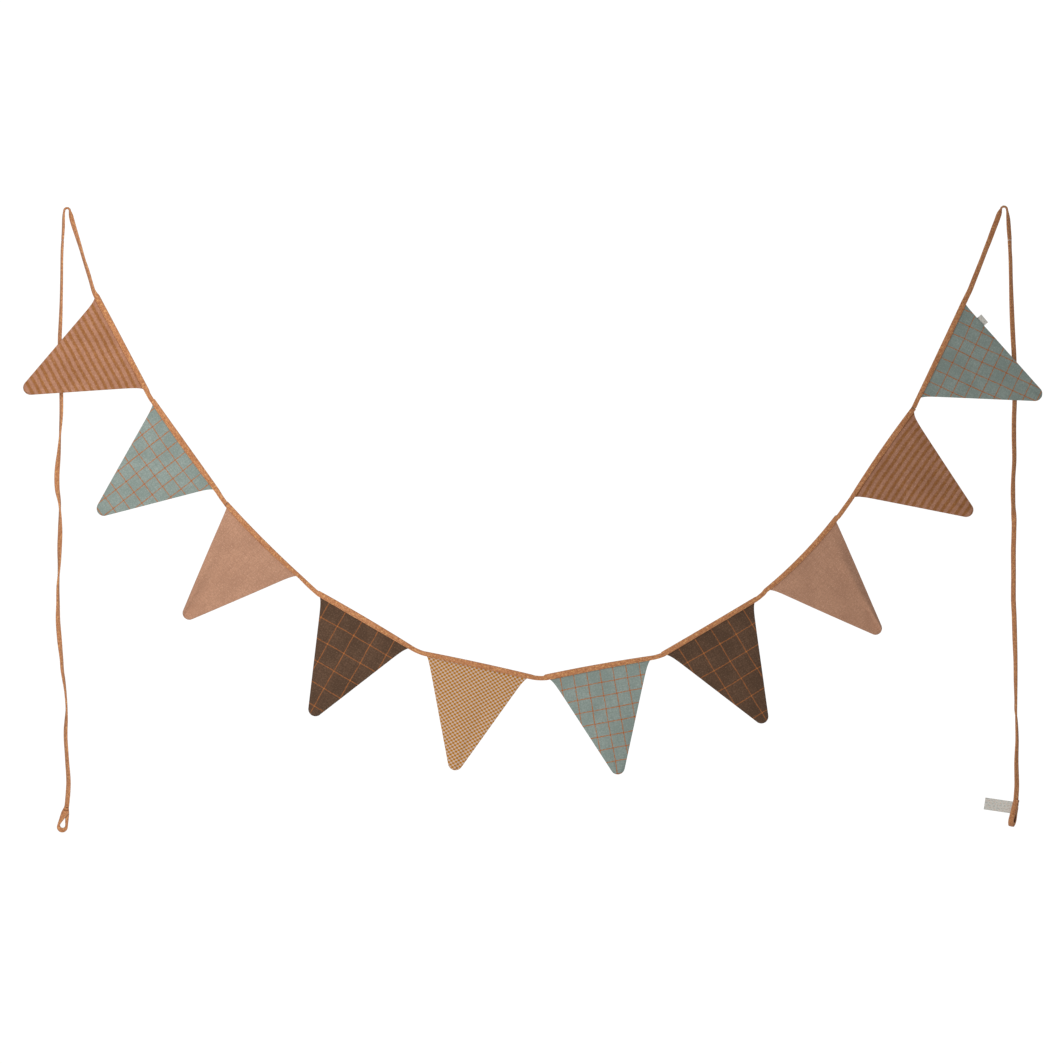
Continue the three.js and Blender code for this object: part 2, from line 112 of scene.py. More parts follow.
# Flags, in order along the tape, as the CAD has them
FLAG_FIELDS = ("cloth", "x", "z", "angle", "width", "drop", "tip", "first", "last")
FLAG_TABLE = (
    ("stripe", 35.8, -116.4, -61.8, 133.5, 137.5, 62.5, 2.4, 2.4),
    ("sage", 111.2, -254.8, -54.4, 135.1, 139.3, 72.8, 1.6, 2.4),
    ("tan", 207.4, -388.7, -44.4, 126.4, 140, 61.1, 0.3, 2.2),
    ("brown", 328.9, -505.1, -30.1, 132.2, 137.8, 67.7, 2, 2.4),
    ("check", 468, -581.8, -12.4, 133.1, 136.6, 65.8, 1.4, 2.4),
    ("sage", 627.9, -611.7, 10.8, 132.3, 137.9, 65, 2.4, 2.4),
    ("brown", 780, -579.8, 30.7, 132.3, 140.4, 64.6, 2.4, 2.4),
    ("tan", 913.9, -495.3, 45.6, 123.6, 141.3, 60.2, 2.4, 0),
    ("stripe", 1024.4, -374.4, 55.2, 134.5, 137.5, 68.9, 2.4, 3.8),
    ("sage", 1110.2, -245.1, 64.2, 134.3, 140.7, 68.9, 2, 0.8),
)
HANG_FIELDS = ("tape_first", "tape_middle", "tape_last", "sag", "bow", "lean", "crease", "crease_at")
HANG_TABLE = (
    (7.6, 7.2, 6.6, 0, 2, 2, 1, 0.4),
    (6.8, 8, 6.6, 1.2, 2.5, -3, -1, -0.3),
    (6.9, 7, 5.4, 2.2, 1.5, 3, 3.2, -0.78),
    (7.3, 7.6, 6.1, 0, 3, -2, 1.2, 0.3),
    (6.2, 7.3, 6.6, 0.2, 2, 3.5, -1.5, 0.5),
    (7.8, 7.3, 6, -0.6, 3, -2.5, 1.5, -0.5),
    (7.1, 6.6, 6.6, 0, 2, 3, -1, 0.2),
    (6, 6.8, 6.8, 3.7, 1.5, -2, 4.5, 0.72),
    (5.8, 6.9, 6.4, -0.8, 2.5, 2.5, 1, -0.2),
    (5.8, 6.9, 7.1, 0.6, 2, 2, -1, 0.3),
)
FLARE_REACH = 5
SHARP_TIP = 15
CREASE_WIDTH = 0.24
FOLDS_START = 0.04
FOLDS_FULL = 0.5

# How the woven pattern lies on each flag: where its first line or band is along the top edge and
# down from it, how far it drifts along the edge and down for each millimetre down or along, and how
# far its middle rises above its ends.
PATTERN_FIELDS = ("pattern_along", "pattern_down", "drift_along", "drift_down", "rise")
PATTERN_TABLE = (
    (0, 6.8, 0, 0.004, 0),
    (5, 16, 0.047, -0.005, -0.8),
    (0, 0, 0, 0, 0),
    (14, 21, 0.012, 0.002, 0),
    (3.4, 2, 0, 0.018, 0),
    (13.5, 17, -0.018, -0.004, 0),
    (17.5, 22, 0.012, 0.002, -0.6),
    (0, 0, 0, 0, 0),
    (0, 8.4, 0, 0, 1.4),
    (6.3, 16.2, 0.018, 0.003, -0.6),
)

# Fine folds in the flags' cloth
FLAG_COLUMNS = 56
FLAG_ROWS = 60
TUCK_ROWS = 2
INNER_HALF_THICKNESS = 0.5
SEAM_RIDGE = 0.2
SEAM_RIDGE_AT = 3.2
SEAM_RIDGE_WIDTH = 2.4
EDGE_ROUNDING = 0.7
PUCKER = {"height": 0.22, "reach": 5.0, "pitch": 9.0, "phase": 20}
GATHER = {"height": 0.45, "reach": 16.0, "pitch": 11.0, "layer": 5}
WRINKLE = {"height": 0.75, "across": 30.0, "down": 46.0, "slant": 0.4}
FREE_BELOW = 12.0
WEAVE_WAVES = {"short": 34, "long": 90, "layer": 7, "height": 0.9}

# Sides that curl back, or forward where the depth is negative: flag number, side, depth and reach
SIDE_CURLS = {3: {"side": -1, "depth": -4.5, "reach": 13.0}, 8: {"side": 1, "depth": 5.5, "reach": 9.0}}
CURL_STARTS = (10.0, 50.0)
CURL_ENDS = (4.0, 40.0)
CURL_FADES = 0.45

# Loops and labels
LOOP = {"shoulder_half": 5.3, "shoulder_drop": 8, "length": 34}
LOOP_HOLE = {"centre_drop": 24.6, "top_drop": 14.6}
LEFT_LOOP = {"x": -0.7, "y": 4, "z": -777.2, "turn": 2, "lean": 12, "outer": 7.1, "hole": 3.3}
RIGHT_LOOP = {"x": 1234.2, "y": 5, "z": -769.6, "turn": 72, "lean": 11, "outer": 8.6, "hole": 3.9}
LABEL_THICKNESS = 0.7
EDGE_LABEL = {"x": 1189.9, "y": 1.6, "z": -144.7, "width": 13.6, "height": 8.2, "angle": -50, "bend": 0.3}
NECK_LABEL = {"width": 36.8, "height": 15.6, "bend": 2, "top_drop": 2.6, "gap": 0.8, "tilt": -3}


def rows_of(fields, table):
    return [dict(zip(fields, row)) for row in table]


def clamp(value):
    return min(max(value, 0), 1)


def smooth_step(value, low, high):
    share = clamp((value - low) / (high - low))
    return share * share * (3 - 2 * share)


def places_of(stations):
    return [Vector((s["x"], s["y"], s["z"])) for s in stations]


def distances_of(places):
    """How far along the way each place is."""
    distances = [0.0]
    for here, there in zip(places, places[1:]):
        distances.append(distances[-1] + (there - here).length)
    return distances


def add_object(name, data):
    thing = bpy.data.objects.new(name, data)
    bpy.context.scene.collection.objects.link(thing)
    return thing


def add_camera():
    camera = add_object("camera", bpy.data.cameras.new("camera"))
    camera.data.sensor_width = SENSOR_WIDTH
    camera.data.lens = SENSOR_WIDTH * CAMERA_DISTANCE / VIEW_WIDTH
    camera.location = (VIEW_CENTRE[0], -CAMERA_DISTANCE, VIEW_CENTRE[1])
    camera.rotation_euler = (math.pi / 2, 0, 0)
    bpy.context.scene.camera = camera


# Order of the materials on a tape's mesh
TAPE_SLOT = 0
THREAD_SLOT = 1
# The third material is painted shade: a darker tape colour on the faces inside a loop's hole
PAINTED_SHADE_SLOT = 2

# A stitch: where its rings are along it, and its lift, the dip and the thinning of its ends as
# shares of its radius
STITCH = {"pitch": 2.6, "length": 1.9, "radius": 0.3}
STITCH_SHARES = (-1, -0.7, 0, 0.7, 1)
STITCH_SIDES = 5
STITCH_LIFT = 0.35
STITCH_DIP = 0.6
STITCH_END = 0.04


# Meshes: points, faces, and each face corner's place on the cloth, all in millimetres
class Piece:
    def __init__(self):
        self.points = []
        self.faces = []
        self.places = []
        self.materials = []

    def point(self, position):
        self.points.append(tuple(position))
        return len(self.points) - 1

    def face(self, corners, places, material=TAPE_SLOT):
        self.faces.append(corners)
        self.places.extend(places)
        self.materials.append(material)

    def leaves(self, corners):
        """A face of the front leaf and its match on the back one, from corners of front, back and place."""
        for leaf, order in ((0, corners), (1, corners[::-1])):
            self.face([corner[leaf] for corner in order], [corner[2] for corner in order])

    def tube(self, rings, distances, material=TAPE_SLOT):
        """Skin closed rings of equal count, with a cap on each end."""
        indices = [[self.point(p) for p in ring] for ring in rings]
        girths = [distances_of(ring + ring[:1]) for ring in rings]
        count = len(rings[0])
        for i in range(len(rings) - 1):
            for k in range(count):
                quad = ((i, k), (i + 1, k), (i + 1, k + 1), (i, k + 1))
                corners = [indices[a][b % count] for a, b in quad]
                self.face(corners, [(distances[a], girths[a][b]) for a, b in quad], material)
        for ends, ring in ((indices[0], rings[0]), (indices[-1][::-1], rings[-1][::-1])):
            self.face(ends, [(p.y, p.z) for p in ring], material)

    def stitch(self, centre, along, out, length, radius):
        """One stitch: a short thread that dips into the cloth at both ends."""
        side = along.cross(out).normalized()
        rings = []
        for share in STITCH_SHARES:
            lift = out * (radius * (STITCH_LIFT - STITCH_DIP * share * share))
            middle = centre + along * (share * length / 2) + lift
            girth = radius * math.sqrt(max(1 - abs(share) ** 3, STITCH_END))
            ring = []
            for step in range(STITCH_SIDES):
                turn = 2 * math.pi * step / STITCH_SIDES
                ring.append(middle + (out * math.cos(turn) + side * math.sin(turn)) * girth)
            rings.append(ring)
        self.tube(rings, [share * length / 2 for share in STITCH_SHARES], THREAD_SLOT)

    def build(self, name, materials):
        mesh = bpy.data.meshes.new(name)
        mesh.from_pydata([Vector(p) * MM for p in self.points], [], self.faces)
        layer = mesh.uv_layers.new(name="cloth")
        layer.data.foreach_set("uv", [value * MM for place in self.places for value in place])
        mesh.polygons.foreach_set("material_index", self.materials)
        mesh.polygons.foreach_set("use_smooth", [True] * len(self.faces))
        for material in materials:
            mesh.materials.append(material)
        mesh.validate()
        return add_object(name, mesh)


# Sweep: stations along a tape, and its directions along, across and through at each
def station_between(stations, spans, index, share):
    """A station between two others: a smooth curve for its place and roll, straight for its sizes."""
    here, there = stations[index:index + 2]
    span = spans[index]
    rest = 1 - share
    result = {}
    for field, start in here.items():
        end = there[field]
        if field not in ("x", "y", "z", "roll"):
            result[field] = start + (end - start) * share
            continue
        slope_start = (end - start) / span
        slope_end = slope_start
        if index > 0:
            slope_start = (end - stations[index - 1][field]) / (span + spans[index - 1])
        if index + 2 < len(stations):
            slope_end = (stations[index + 2][field] - start) / (span + spans[index + 1])
        result[field] = (
            start * rest * rest * (1 + 2 * share)
            + end * share * share * (3 - 2 * share)
            + slope_start * span * rest * rest * share
            - slope_end * span * share * share * rest
        )
    return result


def dense(stations, step):
    places = places_of(stations)
    spans = [(there - here).length for here, there in zip(places, places[1:])]
    result = []
    for index, span in enumerate(spans):
        count = max(1, round(span / step))
        for k in range(count):
            result.append(station_between(stations, spans, index, k / count))
    return result + [stations[-1]]


def frames_of(stations):
    places = places_of(stations)
    frames = []
    for i, station in enumerate(stations):
        along = (places[min(i + 1, len(places) - 1)] - places[max(i - 1, 0)]).normalized()
        up = Vector((-along.z, 0, along.x)).normalized()
        front = along.cross(up)
        roll = math.radians(station["roll"])
        frames.append({
            "place": places[i],
            "along": along,
            "across": up * math.cos(roll) + front * math.sin(roll),
            "through": front * math.cos(roll) - up * math.sin(roll),
        })
    return frames


def sewn_row(piece, stations, frames, distances, stitches):
    """Stitches at an even pitch along both faces of a tape."""
    reach = STITCH["pitch"] / 2
    for i in range(1, len(frames)):
        here = frames[i - 1]
        there = frames[i]
        off_middle = stitches["line"] * stations[i]["width"] / 2
        off_centre = stitches["depth"] * stations[i]["thickness"] / 2
        while reach <= distances[i]:
            share = (reach - distances[i - 1]) / (distances[i] - distances[i - 1])
            place = here["place"].lerp(there["place"], share)
            across = here["across"].lerp(there["across"], share)
            through = here["through"].lerp(there["through"], share)
            for face in (-1, 1):
                centre = place + across * off_middle + through * (face * off_centre)
                piece.stitch(centre, there["along"], through * face, STITCH["length"], STITCH["radius"])
            reach += STITCH["pitch"]


def swept_tape(name, stations, ring_of, stitches, materials):
    """A sewn tape along its stations, with its path and length in metres."""
    stations = dense(stations, STATION_STEP)
    frames = frames_of(stations)
    distances = distances_of([spot["place"] for spot in frames])
    piece = Piece()
    piece.tube([ring_of(s, f) for s, f in zip(stations, frames)], distances)
    sewn_row(piece, stations, frames, distances, stitches)
    path = [spot["place"] * MM for spot in frames]
    return piece.build(name, materials), path, distances[-1] * MM


def tape_outline(half, station):
    """Points across and through the tape: up its back and down its front."""
    half_width = station["width"] / 2
    half_thickness = station["thickness"] / 2
    back = [(p * half_width, -q * half_thickness) for p, q in half]
    return back + [(p * half_width, q * half_thickness) for p, q in half[-2::-1]]


def ring_at(spot, outline):
    return [
        spot["place"] + spot["across"] * across + spot["through"] * through
        for across, through in outline
    ]


# Half of the binding's outline, from its open edge to its fold: share of the half width up from the
# middle, and share of the half thickness. It dips where the stitches pull the two leaves together.
BINDING_HALF = (
    (-1.0, 0.70), (-0.97, 0.90), (-0.88, 1.0), (-0.74, 1.0), (-0.60, 0.88),
    (-0.46, 1.0), (-0.15, 1.0), (0.25, 1.0), (0.58, 0.97), (0.78, 0.85),
    (0.92, 0.58), (0.99, 0.25), (1.0, 0.0),
)
BINDING_STITCHES = {"line": -0.6, "depth": 0.9}
SLOT_MOUTH = 0.3
SHUT_SLOT = {"slot_depth": 0.9, "slot_half": 0.2}


def binding_ring(station, spot):
    mouth = SLOT_MOUTH - station["width"] / 2
    top = station["slot_depth"] - station["width"] / 2
    half = station["slot_half"]
    slot = [(mouth, half), (top, half), (top, -half), (mouth, -half)]
    return ring_at(spot, tape_outline(BINDING_HALF, station) + slot)


def bare_station(x, z, roll, width=TAPE_WIDTH):
    sizes = {"width": width, "thickness": TAPE_THICKNESS}
    return {"x": x, "y": 0, "z": z, "roll": roll, **sizes, **SHUT_SLOT}


def bare_run(table):
    return [bare_station(**row) for row in rows_of(SWAG_FIELDS, table)]


def top_bend(bend):
    stations = []
    for step in range(BEND_STEPS + 1):
        turn = math.radians(bend["from"] + (bend["to"] - bend["from"]) * step / BEND_STEPS)
        x = bend["x"] + bend["radius"] * math.cos(turn)
        z = bend["z"] + bend["radius"] * math.sin(turn)
        stations.append(bare_station(x, z, BEND_ROLL))
    return stations


def folded_width(flag, distance):
    share = distance / flag["width"]
    ends = flag["tape_first"] + (flag["tape_last"] - flag["tape_first"]) * share
    rise = flag["tape_middle"] - (flag["tape_first"] + flag["tape_last"]) / 2
    return ends + 4 * rise * share * (1 - share)


def top_edge(flag):
    angle = math.radians(flag["angle"])
    corner = Vector((flag["x"], 0, flag["z"]))
    along = Vector((math.cos(angle), 0, math.sin(angle)))
    up = Vector((-math.sin(angle), 0, math.cos(angle)))
    return corner, along, up


def top_sag(flag, distance):
    share = distance / flag["width"]
    return 4 * flag["sag"] * share * (1 - share)


def tape_point(flag, distance, height):
    corner, along, up = top_edge(flag)
    return corner + along * distance + up * (height - top_sag(flag, distance))


SLOT_REACH = 4.5
SWAG_END_REACH = 0.9
SLOT_END = 0.3
SLOT_ROOM = 0.3
BINDING_SHARES = [tenths / 10 for tenths in range(1, 10)]
GAP_SHARES = (0.3, 0.5, 0.7)


def flag_run(flag, reach_before, reach_after):
    def at(distance, folded):
        width = folded_width(flag, distance)
        centre = tape_point(flag, distance, width / 2)
        station = bare_station(centre.x, centre.z, 0, width)
        if folded:
            station["thickness"] = FOLDED_THICKNESS
            station["slot_depth"] = TUCK + SLOT_ROOM
            station["slot_half"] = FOLDED_THICKNESS / 2 - LEAF_THICKNESS
        return station

    return (
        [at(-reach_before, False), at(-SLOT_END, True)]
        + [at(share * flag["width"], True) for share in BINDING_SHARES]
        + [at(flag["width"] + SLOT_END, True), at(flag["width"] + reach_after, False)]
    )


def gap_run(end_flag, start_flag):
    """Between two flags the tape turns along a curve through the crossing of their two lines."""
    height = GATHERED_WIDTH / 2 - GATHERED_DROP
    end = tape_point(end_flag, end_flag["width"], height)
    start = tape_point(start_flag, 0, height)
    out = top_edge(end_flag)[1]
    back = top_edge(start_flag)[1]
    across = start - end
    reach = (across.x * back.z - across.z * back.x) / (out.x * back.z - out.z * back.x)
    crossing = end + out * reach
    stations = []
    for share in GAP_SHARES:
        rest = 1 - share
        point = end * rest * rest + crossing * 2 * rest * share + start * share * share
        stations.append(bare_station(point.x, point.z, 0, GATHERED_WIDTH))
    return stations


def make_binding(flags, materials):
    stations = bare_run(LEFT_TAIL_START) + top_bend(LEFT_BEND) + bare_run(LEFT_SWAG)
    for i, flag in enumerate(flags):
        if i > 0:
            stations += gap_run(flags[i - 1], flag)
        reach_before = SLOT_REACH if i > 0 else SWAG_END_REACH
        reach_after = SLOT_REACH if i < len(flags) - 1 else SWAG_END_REACH
        stations += flag_run(flag, reach_before, reach_after)
    stations += bare_run(RIGHT_SWAG) + top_bend(RIGHT_BEND) + bare_run(RIGHT_TAIL_START)
    binding, _, length = swept_tape("binding_tape", stations, binding_ring, BINDING_STITCHES, materials)
    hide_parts("binding")
    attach(binding, "root")


# Ties: outline of the folded tape, with a thin folded edge, a stitched dip and a rounded fold
TIE_HALF = (
    (-1.0, 0.0), (-0.99, 0.45), (-0.92, 0.82), (-0.8, 0.98), (-0.68, 0.96),
    (-0.56, 0.82), (-0.44, 0.96), (-0.2, 1.0), (0.3, 1.0), (0.62, 0.99),
    (0.8, 0.9), (0.93, 0.66), (0.99, 0.35), (1.0, 0.0),
)
TIE_STITCHES = {"line": -0.56, "depth": 0.84}


def tie_ring(station, spot):
    both_faces = tape_outline(TIE_HALF, station)
    return ring_at(spot, both_faces[:-1])


def make_tie(name, table, materials):
    sizes = {"width": TAPE_WIDTH, "thickness": TAPE_THICKNESS}
    stations = [{**row, **sizes} for row in rows_of(TIE_FIELDS, table)]
    tie, path, length = swept_tape(name + "_tape", stations, tie_ring, TIE_STITCHES, materials)
    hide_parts(name)
    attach(tie, "root")
    return tie, path, length


# Loops: the tape goes down one side, round the bottom and up the other, and its end is laid under the
# first side and sewn fast at the neck
LOOP_NECK_DROPS = (-1.6, -1.2, -0.4, 0.8, 2.2, 3.6, 4.8, 6.4)
LOOP_LEG_DROPS = (8, 9.5, 11, 12.8, 14.6, 17, 19, 21, 23)
LOOP_TURN_STEPS = 18
LOOP_RING_STEPS = 20
LOOP_SQUARENESS = 6
# Steps round each ring whose faces take the painted shade inside the hole
LOOP_PAINTED_SHADE_STEPS = range(8, 12)
LEG_GAP = 0.04
SEAM_AT_HOLE = 1.0
NECK_BAND = {"half": 3.15, "widens_from": 0.8, "end_share": 0.88}
HOLE_SIDE_TURN = 0.12
OUTER_SIDE_TURN = 0.06
SEAM_RISE = 1
NECK_BAR = {"drops": (0.2, 4.4), "threads": 2, "spacing": 1.6, "length_share": 0.9, "radius_share": 1.2}


def tangent_point(radius, centre_drop, side_turn):
    """Where a straight side meets the round of the bottom: off the middle, and drop."""
    turn = math.pi * side_turn
    return radius * math.cos(turn), centre_drop - radius * math.sin(turn)


def loop_outer_half(place, drop):
    radius = place["outer"]
    tangent_half, tangent_drop = tangent_point(radius, LOOP["length"] - radius, OUTER_SIDE_TURN)
    if drop < LOOP["shoulder_drop"]:
        start = NECK_BAND["widens_from"]
        share = max(drop - start, 0) / (LOOP["shoulder_drop"] - start)
        return NECK_BAND["half"] + (LOOP["shoulder_half"] - NECK_BAND["half"]) * share
    share = min((drop - LOOP["shoulder_drop"]) / (tangent_drop - LOOP["shoulder_drop"]), 1)
    return LOOP["shoulder_half"] + (tangent_half - LOOP["shoulder_half"]) * share


def seam_between_legs(place, drop, side):
    """Where a leg's inner side is: on the slanted seam above the hole, then round the hole."""
    seam_start = LOOP["shoulder_drop"] - SEAM_RISE
    share = clamp((drop - seam_start) / (LOOP_HOLE["top_drop"] - seam_start))
    middle = LOOP["shoulder_half"] + (SEAM_AT_HOLE - LOOP["shoulder_half"]) * share
    tangent_half, tangent_drop = tangent_point(place["hole"], LOOP_HOLE["centre_drop"], HOLE_SIDE_TURN)
    share = clamp((drop - LOOP_HOLE["top_drop"]) / (tangent_drop - LOOP_HOLE["top_drop"]))
    hole_middle = middle * (1 - share)
    return hole_middle + side * (LEG_GAP + (tangent_half - LEG_GAP) * share)


def wall(inner, outer, drop):
    return Vector((inner, 0, -drop)), Vector((outer, 0, -drop))


def round_bottom(radius, centre_drop, side_turn, share):
    """A point on the round of the hole or of the outside, from the left leg to the right one."""
    turn = math.pi * (1 - side_turn + (1 + 2 * side_turn) * share)
    return Vector((math.cos(turn), 0, math.sin(turn))) * radius - Vector((0, 0, centre_drop))


def loop_stations(place):
    """Pairs of an inner and an outer point of the loop's wall: neck and left leg, round, right leg."""
    stations = []
    for drop in LOOP_NECK_DROPS:
        half = loop_outer_half(place, drop) * (1 if stations else NECK_BAND["end_share"])
        stations.append(wall(half, -half, drop))
    for drop in LOOP_LEG_DROPS:
        stations.append(wall(seam_between_legs(place, drop, -1), -loop_outer_half(place, drop), drop))
    for step in range(LOOP_TURN_STEPS + 1):
        share = step / LOOP_TURN_STEPS
        inner = round_bottom(place["hole"], LOOP_HOLE["centre_drop"], HOLE_SIDE_TURN, share)
        outer = round_bottom(place["outer"], LOOP["length"] - place["outer"], OUTER_SIDE_TURN, share)
        stations.append((inner, outer))
    for drop in reversed(LOOP_LEG_DROPS):
        inner = seam_between_legs(place, drop, 1)
        stations.append(wall(inner, max(loop_outer_half(place, drop), inner + LEG_GAP), drop))
    return stations


def loop_matrix(place):
    lean = Matrix.Rotation(math.radians(place["lean"]), 4, "Y")
    turn = Matrix.Rotation(math.radians(place["turn"]), 4, "Z")
    return Matrix.Translation((place["x"], place["y"], place["z"])) @ lean @ turn


def rounded(turn):
    """A point of a square with rounded corners, from -1 to 1."""
    sides = (math.cos(turn), math.sin(turn))
    return [math.copysign(abs(side) ** (2 / LOOP_SQUARENESS), side) for side in sides]


def make_loop(name, place, materials):
    to_swag = loop_matrix(place)
    rings = []
    middles = []
    for inner, outer in loop_stations(place):
        middle = (inner + outer) / 2
        half = (outer - inner) / 2
        depth = TAPE_WIDTH / 2 * (1 if rings else NECK_BAND["end_share"])
        ring = []
        for step in range(LOOP_RING_STEPS):
            p, q = rounded(2 * math.pi * step / LOOP_RING_STEPS)
            ring.append(to_swag @ (middle + half * p + Vector((0, q * depth, 0))))
        rings.append(ring)
        middles.append(middle)
    piece = Piece()
    piece.tube(rings, distances_of(middles))
    # Painted shade: the faces inside the loop below the neck take a darker tape colour, for the shadow
    # between its legs
    for i in range(len(LOOP_NECK_DROPS), len(rings) - 1):
        for step in LOOP_PAINTED_SHADE_STEPS:
            piece.materials[i * LOOP_RING_STEPS + step] = PAINTED_SHADE_SLOT
    along = to_swag.to_3x3() @ Vector((1, 0, 0))
    for drop in NECK_BAR["drops"]:
        length = 2 * loop_outer_half(place, drop) * NECK_BAR["length_share"]
        for thread in range(NECK_BAR["threads"]):
            z = -drop - thread * STITCH["radius"] * NECK_BAR["spacing"]
            for face in (-1, 1):
                centre = to_swag @ Vector((0, face * TAPE_WIDTH / 2, z))
                out = to_swag.to_3x3() @ Vector((0, face, 0))
                piece.stitch(centre, along, out, length, STITCH["radius"] * NECK_BAR["radius_share"])
    loop = piece.build(name + "_tape", materials)
    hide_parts(name)
    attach(loop, "root")
    return loop


# Flags
def tip_circle(flag, flare):
    """Radius of the rounded tip, the depth where the side meets it, and the side's slope."""
    apex = flag["drop"] + SHARP_TIP
    slope = (flag["width"] / 2 - flare) / apex
    half_angle = math.atan(slope)
    radius = SHARP_TIP / (1 / math.sin(half_angle) - 1)
    tangent_depth = apex - radius * math.cos(half_angle) / math.tan(half_angle)
    return radius, tangent_depth, slope


def flag_half_width(flag, depth, flare):
    radius, tangent_depth, slope = tip_circle(flag, flare)
    if depth > tangent_depth:
        return math.sqrt(max(radius ** 2 - (depth - flag["drop"] + radius) ** 2, 0))
    return slope * (flag["drop"] + SHARP_TIP - depth) + flare * math.exp(-depth / FLARE_REACH)


def edge_distance(flag, across, depth, flare):
    """How far a point of the flag is from its nearest side or from the rim of its tip."""
    radius, tangent_depth, slope = tip_circle(flag, flare)
    half_width = flag_half_width(flag, depth, flare)
    if depth > tangent_depth:
        return max(radius - math.hypot(across * half_width, depth - flag["drop"] + radius), 0)
    return half_width * (1 - abs(across)) * math.cos(math.atan(slope))


def flag_forward(flag, across, depth):
    down = depth / flag["drop"]
    free = smooth_step(down, FOLDS_START, FOLDS_FULL)
    bow = flag["bow"] * (1 - across ** 2) * free
    lean = flag["lean"] * down ** 2
    crease = flag["crease"] * math.exp(-(((across - flag["crease_at"]) / CREASE_WIDTH) ** 2)) * free
    return bow + lean + crease


def fine_folds(flag, distance, depth, edge):
    """Small puckers along the seams, gathers below the tape and shallow wrinkles."""
    seed = flag["x"]
    phase = noise.noise(Vector((depth / PUCKER["phase"], seed, 0))) * math.pi
    pucker = PUCKER["height"] * math.exp(-edge / PUCKER["reach"])
    pucker *= math.sin(2 * math.pi * depth / PUCKER["pitch"] + phase)
    gather = GATHER["height"] * math.exp(-depth / GATHER["reach"])
    gather *= noise.noise(Vector((distance / GATHER["pitch"], seed, GATHER["layer"])))
    slanted = depth + distance * WRINKLE["slant"]
    wrinkle = WRINKLE["height"]
    wrinkle *= noise.noise(Vector((distance / WRINKLE["across"], slanted / WRINKLE["down"], seed)))
    return (pucker + gather + wrinkle) * smooth_step(depth, 0, FREE_BELOW)


def side_curl(flag, across, depth, edge):
    curl = flag["curl"]
    if not curl:
        return 0
    share = smooth_step(across * curl["side"], 0, CURL_FADES)
    share *= smooth_step(depth, *CURL_STARTS) * smooth_step(flag["drop"] - depth, *CURL_ENDS)
    return -curl["depth"] * math.exp(-((edge / curl["reach"]) ** 2)) * share


def half_thickness(edge):
    ridge = SEAM_RIDGE * math.exp(-(((edge - SEAM_RIDGE_AT) / SEAM_RIDGE_WIDTH) ** 4))
    rounding = min(edge / EDGE_ROUNDING, 1)
    return (INNER_HALF_THICKNESS + ridge) * math.sqrt(1 - (1 - rounding) ** 2)


def flag_point(flag, across, depth, side):
    corner, along, up = top_edge(flag)
    cloth_depth = max(depth, 0)
    down = cloth_depth / flag["drop"]
    flare = flag["first"] if across < 0 else flag["last"]
    middle = flag["width"] / 2 + (flag["tip"] - flag["width"] / 2) * down
    distance = middle + across * flag_half_width(flag, cloth_depth, flare)
    sag = top_sag(flag, distance) * (1 - down)
    edge = edge_distance(flag, across, cloth_depth, flare)
    forward = flag_forward(flag, across, cloth_depth) + fine_folds(flag, distance, cloth_depth, edge)
    forward += side_curl(flag, across, cloth_depth, edge)
    point = corner + along * distance - up * (depth + sag)
    point.y -= forward + side * half_thickness(edge)
    return point, pattern_place(flag, distance, depth)


def pattern_place(flag, distance, depth):
    """Where a point of the flag is in the cloth's woven pattern, which is never quite straight."""
    seed = flag["x"]
    short, long, layer, height = WEAVE_WAVES.values()
    wave_along = noise.noise(Vector((depth / short, distance / long, seed))) * height
    wave_down = noise.noise(Vector((distance / short, depth / long, seed + layer))) * height
    share = distance / flag["width"]
    rise = flag["rise"] * 4 * share * (1 - share)
    return (
        distance - flag["pattern_along"] - flag["drift_along"] * depth + wave_along,
        depth - flag["pattern_down"] - flag["drift_down"] * distance + rise + wave_down,
    )


def make_flag(flag, node, material):
    piece = Piece()
    depths = [-TUCK + TUCK * i / TUCK_ROWS for i in range(TUCK_ROWS)]
    depths += [flag["drop"] * math.sin(math.pi / 2 * j / FLAG_ROWS) for j in range(FLAG_ROWS)]
    rows = []
    for depth in depths:
        row = []
        for i in range(FLAG_COLUMNS + 1):
            across = -math.cos(math.pi * i / FLAG_COLUMNS)
            on_rim = not rows or i in (0, FLAG_COLUMNS)
            point, place = flag_point(flag, across, depth, 0 if on_rim else 1)
            front = piece.point(point)
            back = front if on_rim else piece.point(flag_point(flag, across, depth, -1)[0])
            row.append((front, back, place))
        rows.append(row)
    for above, below in zip(rows, rows[1:]):
        for i in range(FLAG_COLUMNS):
            piece.leaves((above[i], below[i], below[i + 1], above[i + 1]))
    tip_point, tip_place = flag_point(flag, 0, flag["drop"], 0)
    tip = piece.point(tip_point)
    for i in range(FLAG_COLUMNS):
        piece.leaves((rows[-1][i], (tip, tip, tip_place), rows[-1][i + 1]))
    cloth = piece.build(node + "_cloth", [material])
    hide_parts(node)
    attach(cloth, "root")


# Labels
LABEL_COLUMNS = 40
LABEL_ROWS = 18
SELVEDGE = 1.1
LABEL_MIDDLE = 0.75
LABEL_CURL = {"height": 0.25, "across": 2.4, "down": 3}
LABEL_FOLD = 0.5
LABEL_FOLD_STEPS = 8
LABEL_PRESSED = 0.9
LABEL_PRESSED_INSIDE = 0.8
LEAF_OF_LABEL = 0.34
SEWN_IN = 2.5


def label_thickness(from_side):
    """Half the thickness of a woven label, a little thicker at its selvedges."""
    selvedge = (1 - LABEL_MIDDLE) * math.exp(-((from_side / SELVEDGE) ** 2))
    return LABEL_THICKNESS / 2 * (LABEL_MIDDLE + selvedge)


